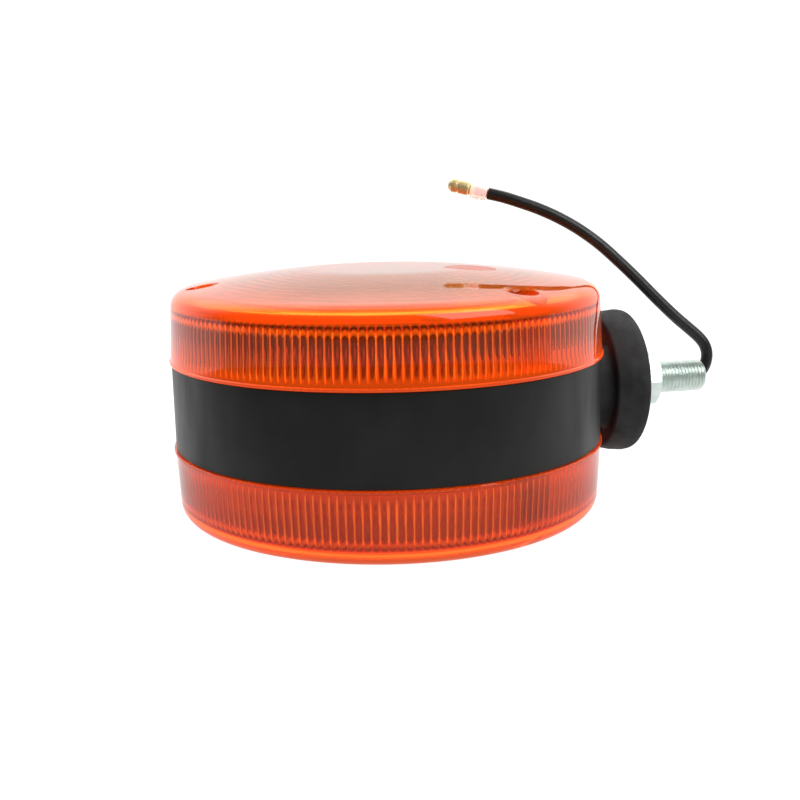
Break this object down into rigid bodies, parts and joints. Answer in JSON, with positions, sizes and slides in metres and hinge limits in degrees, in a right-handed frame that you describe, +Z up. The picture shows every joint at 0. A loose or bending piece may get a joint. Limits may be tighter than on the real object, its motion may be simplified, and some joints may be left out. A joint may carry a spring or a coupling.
{
  "type": "vehicle signal lamp",
  "caption": "Round double-faced signal lamp: orange-red lenses either side of a black band, held by a hollow threaded stud through a rubber pedestal, with a short bullet-ended lead.",
  "frame": {"origin": "on the mounting stud's axis, in the plane of the pedestal's seat, which lies on the bracket or panel that the lamp is fixed to", "axes": "+X runs out of the lamp along the stud; Z is the lenses' common axis, +Z up through the upper lens; +Y completes the right-handed frame"},
  "size_m": [0.1609, 0.1206, 0.0951],
  "materials": {
    "lens": "glossy translucent orange-red moulding",
    "black_plastic": "satin black moulding",
    "rubber": "matt black rubber",
    "zinc": "bright zinc plating",
    "spring_steel": "drawn wire",
    "fibre": "matt brown fibre board",
    "brass": "drawn brass",
    "solder": "dull solder",
    "vitrite": "glossy black glass insulation",
    "bulb_glass": "clear glass",
    "tungsten": "dark drawn wire",
    "lead_black": "satin black cable sleeve",
    "lead_red": "satin red insulation",
    "clear_sleeve": "milky clear vinyl"
  },
  "bodies": {
    "lamp": {"housing_ring": "black_plastic", "upper_lens": "lens", "upper_gasket": "rubber", "upper_lens_screw_1": "zinc", "upper_lens_screw_2": "zinc", "upper_lens_screw_3": "zinc", "lower_lens": "lens", "lower_gasket": "rubber", "lower_lens_screw_1": "zinc", "lower_lens_screw_2": "zinc", "lower_lens_screw_3": "zinc", "pedestal": "rubber", "mounting_stud": "zinc", "socket_bracket": "zinc", "socket_shell": "zinc", "contact_spring": "spring_steel", "lead_sleeve": "lead_black", "lead_core": "lead_red", "terminal_sleeve": "clear_sleeve", "bullet_terminal": "brass"},
    "washer": {"plain_washer": "zinc"},
    "nut": {"mounting_nut": "zinc"},
    "contact": {"contact_carrier": "fibre", "contact_rivet": "brass", "inner_lead": "lead_black"},
    "bulb": {"bulb_cap": "brass", "bulb_insulator": "vitrite", "bulb_contact": "solder", "bulb_glass": "bulb_glass", "bulb_filament": "tungsten"}
  },
  "joints": [
    {"name": "washer_travel", "type": "slide", "parent": "lamp", "child": "washer", "axis": [1, 0, 0], "range_m": [0, 0.0127]},
    {"name": "nut_turn", "type": "hinge", "parent": "washer", "child": "nut", "pos_m": [0, 0, 0], "axis": [1, 0, 0], "range_deg": [0, 4320]},
    {"name": "contact_push", "type": "slide", "parent": "lamp", "child": "contact", "axis": [1, 0, 0], "range_m": [0, 0.002], "stiffness_N_per_m": 1500, "springref_m": -0.004, "deforming": ["contact_spring"]},
    {"name": "bulb_turn", "type": "hinge", "parent": "contact", "child": "bulb", "pos_m": [0, 0, 0], "axis": [-1, 0, 0], "range_deg": [0, 25]}
  ],
  "couplings": [
    {"joint": "nut_turn", "follows": "washer_travel", "rad_per_m": 5936.9},
    {"joint": "bulb_turn", "follows": "contact_push", "rad_per_m": 218.17}
  ]
}
